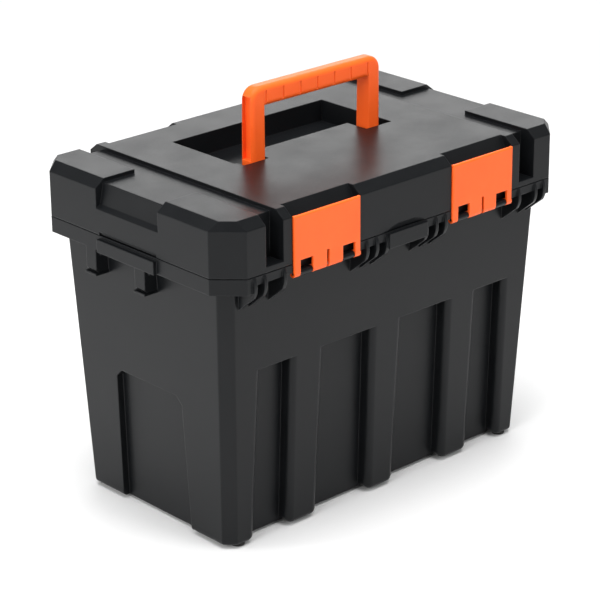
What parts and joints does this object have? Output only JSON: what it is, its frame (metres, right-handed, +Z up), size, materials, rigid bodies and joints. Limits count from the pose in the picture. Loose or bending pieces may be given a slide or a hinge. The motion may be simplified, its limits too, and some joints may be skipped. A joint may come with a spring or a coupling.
{
  "type": "toolbox with tray",
  "caption": "Deep plastic toolbox with a hinged lid, orange front latches, a folding bail handle and a lift-out tray.",
  "frame": {"origin": "on the floor under the middle of the box, at the feet's undersides", "axes": "+X along the long side, -Y out of the front with the latches, +Z up"},
  "size_m": [0.407, 0.2599, 0.367],
  "materials": {
    "body_plastic": "satin moulded polypropylene",
    "orange_plastic": "satin moulded polypropylene",
    "tray_plastic": "satin moulded polypropylene",
    "pin_steel": "plain drawn wire",
    "foot_rubber": "matt"
  },
  "bodies": {
    "tub": {"tub": "body_plastic", "foot_front_left": "foot_rubber", "foot_front_right": "foot_rubber", "foot_back_left": "foot_rubber", "foot_back_right": "foot_rubber", "latch_pin_left": "pin_steel", "latch_pin_right": "pin_steel", "hinge_pin_left": "pin_steel", "hinge_pin_right": "pin_steel"},
    "lid": {"lid": "body_plastic", "handle_pin_left": "pin_steel", "handle_pin_right": "pin_steel"},
    "handle": {"handle": "orange_plastic"},
    "latch_left": {"latch_left": "orange_plastic"},
    "latch_right": {"latch_right": "orange_plastic"},
    "tray": {"tray": "tray_plastic", "tray_divider_left": "tray_plastic", "tray_divider_right": "tray_plastic"}
  },
  "joints": [
    {"name": "lid_hinge", "type": "hinge", "parent": "tub", "child": "lid", "pos_m": [0, 0.1284, 0.2557], "axis": [-1, 0, 0], "range_deg": [0, 110]},
    {"name": "handle_pivot", "type": "hinge", "parent": "lid", "child": "handle", "pos_m": [0, -0.008, 0.2933], "axis": [-1, 0, 0], "range_deg": [0, 90]},
    {"name": "latch_left_hinge", "type": "hinge", "parent": "tub", "child": "latch_left", "pos_m": [-0.0917, -0.1226, 0.2464], "axis": [1, 0, 0], "range_deg": [0, 120]},
    {"name": "latch_right_hinge", "type": "hinge", "parent": "tub", "child": "latch_right", "pos_m": [0.0917, -0.1226, 0.2464], "axis": [1, 0, 0], "range_deg": [0, 120]},
    {"name": "tray_lift", "type": "slide", "parent": "tub", "child": "tray", "axis": [0, 0, 1], "range_m": [0, 0.064]}
  ],
  "couplings": [
    {"joint": "tray_lift", "follows": "lid_hinge", "m_per_rad": 0.033}
  ]
}
